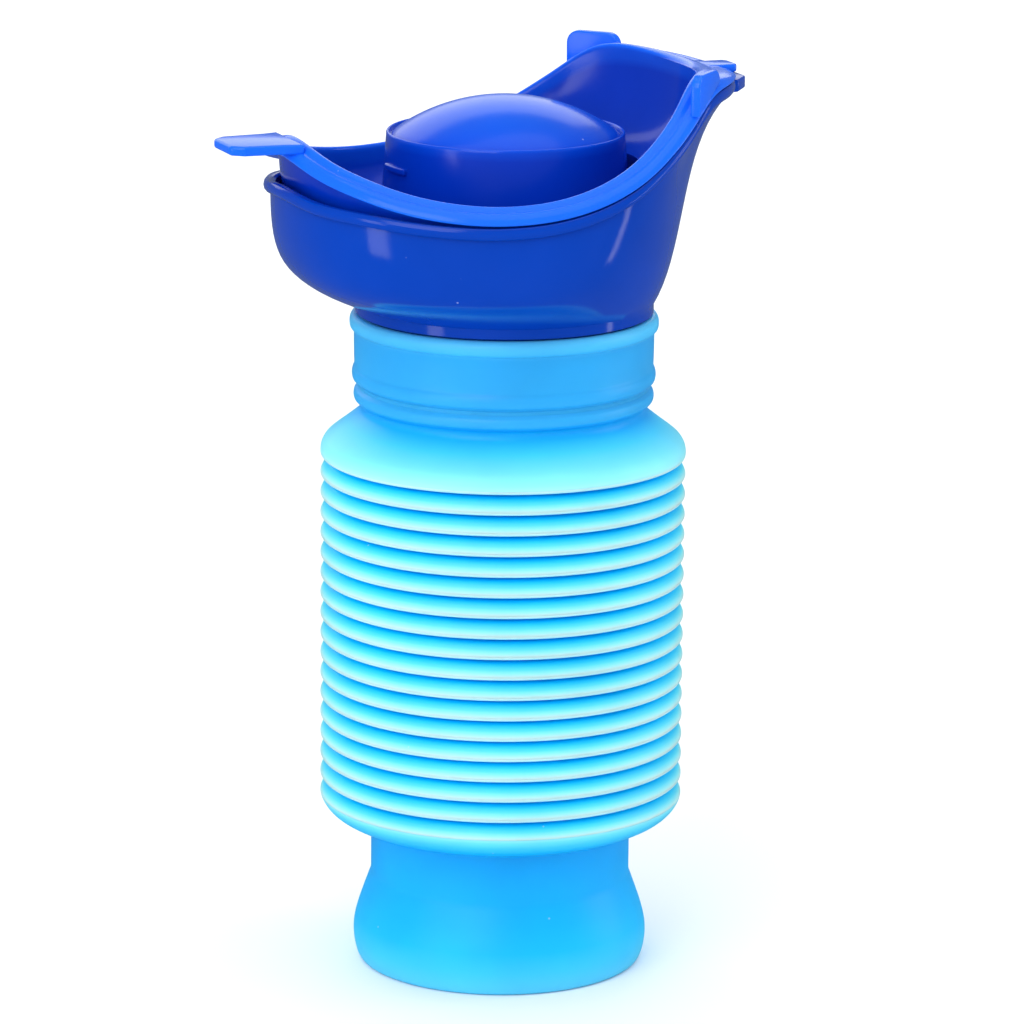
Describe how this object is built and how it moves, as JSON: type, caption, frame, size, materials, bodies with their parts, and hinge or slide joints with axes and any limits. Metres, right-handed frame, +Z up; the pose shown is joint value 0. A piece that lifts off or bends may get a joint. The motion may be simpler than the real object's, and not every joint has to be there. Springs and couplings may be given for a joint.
{
  "type": "urine bottle",
  "caption": "Collapsible urine bottle: a bellows body on a round foot, a funnel bowl plugged into its collar, a saddle-shaped insert and a domed stopper.",
  "frame": {"origin": "centre of the flat underside of the foot", "axes": "+Z up the bottle's axis; +X towards the funnel's narrow, high end, away from the insert's long tab; +Y completes a right-handed frame"},
  "size_m": [0.1124, 0.0864, 0.189],
  "materials": {
    "bottle_plastic": "satin translucent sky-blue polyethylene, blow moulded",
    "bowl_plastic": "gloss dark-blue polypropylene, injection moulded",
    "insert_plastic": "gloss bright-blue polyethylene, injection moulded",
    "cap_plastic": "satin-gloss blue polypropylene, injection moulded",
    "seal_rubber": "matt translucent silicone rubber"
  },
  "bodies": {
    "base": {"bottle_base": "bottle_plastic"},
    "fold_01": {"bellows_fold_01": "bottle_plastic"},
    "fold_02": {"bellows_fold_02": "bottle_plastic"},
    "fold_03": {"bellows_fold_03": "bottle_plastic"},
    "fold_04": {"bellows_fold_04": "bottle_plastic"},
    "fold_05": {"bellows_fold_05": "bottle_plastic"},
    "fold_06": {"bellows_fold_06": "bottle_plastic"},
    "fold_07": {"bellows_fold_07": "bottle_plastic"},
    "fold_08": {"bellows_fold_08": "bottle_plastic"},
    "fold_09": {"bellows_fold_09": "bottle_plastic"},
    "fold_10": {"bellows_fold_10": "bottle_plastic"},
    "fold_11": {"bellows_fold_11": "bottle_plastic"},
    "fold_12": {"bellows_fold_12": "bottle_plastic"},
    "fold_13": {"bellows_fold_13": "bottle_plastic"},
    "fold_14": {"bellows_fold_14": "bottle_plastic"},
    "fold_15": {"bellows_fold_15": "bottle_plastic"},
    "fold_16": {"bellows_fold_16": "bottle_plastic"},
    "neck": {"bottle_neck": "bottle_plastic", "neck_seal": "seal_rubber"},
    "bowl": {"funnel_bowl": "bowl_plastic"},
    "insert": {"funnel_insert": "insert_plastic"},
    "cap": {"cap": "cap_plastic", "cap_seal": "seal_rubber"}
  },
  "joints": [
    {"name": "bellows_extend", "type": "slide", "parent": "base", "child": "fold_01", "axis": [0, 0, 1], "range_m": [0, 0.005]},
    {"name": "bellows_follow_01", "type": "slide", "parent": "fold_01", "child": "fold_02", "axis": [0, 0, 1], "range_m": [0, 0.005]},
    {"name": "bellows_follow_02", "type": "slide", "parent": "fold_02", "child": "fold_03", "axis": [0, 0, 1], "range_m": [0, 0.005]},
    {"name": "bellows_follow_03", "type": "slide", "parent": "fold_03", "child": "fold_04", "axis": [0, 0, 1], "range_m": [0, 0.005]},
    {"name": "bellows_follow_04", "type": "slide", "parent": "fold_04", "child": "fold_05", "axis": [0, 0, 1], "range_m": [0, 0.005]},
    {"name": "bellows_follow_05", "type": "slide", "parent": "fold_05", "child": "fold_06", "axis": [0, 0, 1], "range_m": [0, 0.005]},
    {"name": "bellows_follow_06", "type": "slide", "parent": "fold_06", "child": "fold_07", "axis": [0, 0, 1], "range_m": [0, 0.005]},
    {"name": "bellows_follow_07", "type": "slide", "parent": "fold_07", "child": "fold_08", "axis": [0, 0, 1], "range_m": [0, 0.005]},
    {"name": "bellows_follow_08", "type": "slide", "parent": "fold_08", "child": "fold_09", "axis": [0, 0, 1], "range_m": [0, 0.005]},
    {"name": "bellows_follow_09", "type": "slide", "parent": "fold_09", "child": "fold_10", "axis": [0, 0, 1], "range_m": [0, 0.005]},
    {"name": "bellows_follow_10", "type": "slide", "parent": "fold_10", "child": "fold_11", "axis": [0, 0, 1], "range_m": [0, 0.005]},
    {"name": "bellows_follow_11", "type": "slide", "parent": "fold_11", "child": "fold_12", "axis": [0, 0, 1], "range_m": [0, 0.005]},
    {"name": "bellows_follow_12", "type": "slide", "parent": "fold_12", "child": "fold_13", "axis": [0, 0, 1], "range_m": [0, 0.005]},
    {"name": "bellows_follow_13", "type": "slide", "parent": "fold_13", "child": "fold_14", "axis": [0, 0, 1], "range_m": [0, 0.005]},
    {"name": "bellows_follow_14", "type": "slide", "parent": "fold_14", "child": "fold_15", "axis": [0, 0, 1], "range_m": [0, 0.005]},
    {"name": "bellows_follow_15", "type": "slide", "parent": "fold_15", "child": "fold_16", "axis": [0, 0, 1], "range_m": [0, 0.005]},
    {"name": "bellows_follow_16", "type": "slide", "parent": "fold_16", "child": "neck", "axis": [0, 0, 1], "range_m": [0, 0.005]},
    {"name": "bowl_lift", "type": "slide", "parent": "neck", "child": "bowl", "axis": [0, 0, 1], "range_m": [0, 0.05]},
    {"name": "insert_lift", "type": "slide", "parent": "bowl", "child": "insert", "axis": [0, 0, 1], "range_m": [0, 0.05]},
    {"name": "cap_lift", "type": "slide", "parent": "insert", "child": "cap", "axis": [0, 0, 1], "range_m": [0, 0.05]}
  ],
  "couplings": [
    {"joint": "bellows_follow_01", "follows": "bellows_extend", "ratio": 1},
    {"joint": "bellows_follow_02", "follows": "bellows_extend", "ratio": 1},
    {"joint": "bellows_follow_03", "follows": "bellows_extend", "ratio": 1},
    {"joint": "bellows_follow_04", "follows": "bellows_extend", "ratio": 1},
    {"joint": "bellows_follow_05", "follows": "bellows_extend", "ratio": 1},
    {"joint": "bellows_follow_06", "follows": "bellows_extend", "ratio": 1},
    {"joint": "bellows_follow_07", "follows": "bellows_extend", "ratio": 1},
    {"joint": "bellows_follow_08", "follows": "bellows_extend", "ratio": 1},
    {"joint": "bellows_follow_09", "follows": "bellows_extend", "ratio": 1},
    {"joint": "bellows_follow_10", "follows": "bellows_extend", "ratio": 1},
    {"joint": "bellows_follow_11", "follows": "bellows_extend", "ratio": 1},
    {"joint": "bellows_follow_12", "follows": "bellows_extend", "ratio": 1},
    {"joint": "bellows_follow_13", "follows": "bellows_extend", "ratio": 1},
    {"joint": "bellows_follow_14", "follows": "bellows_extend", "ratio": 1},
    {"joint": "bellows_follow_15", "follows": "bellows_extend", "ratio": 1},
    {"joint": "bellows_follow_16", "follows": "bellows_extend", "ratio": 1}
  ]
}
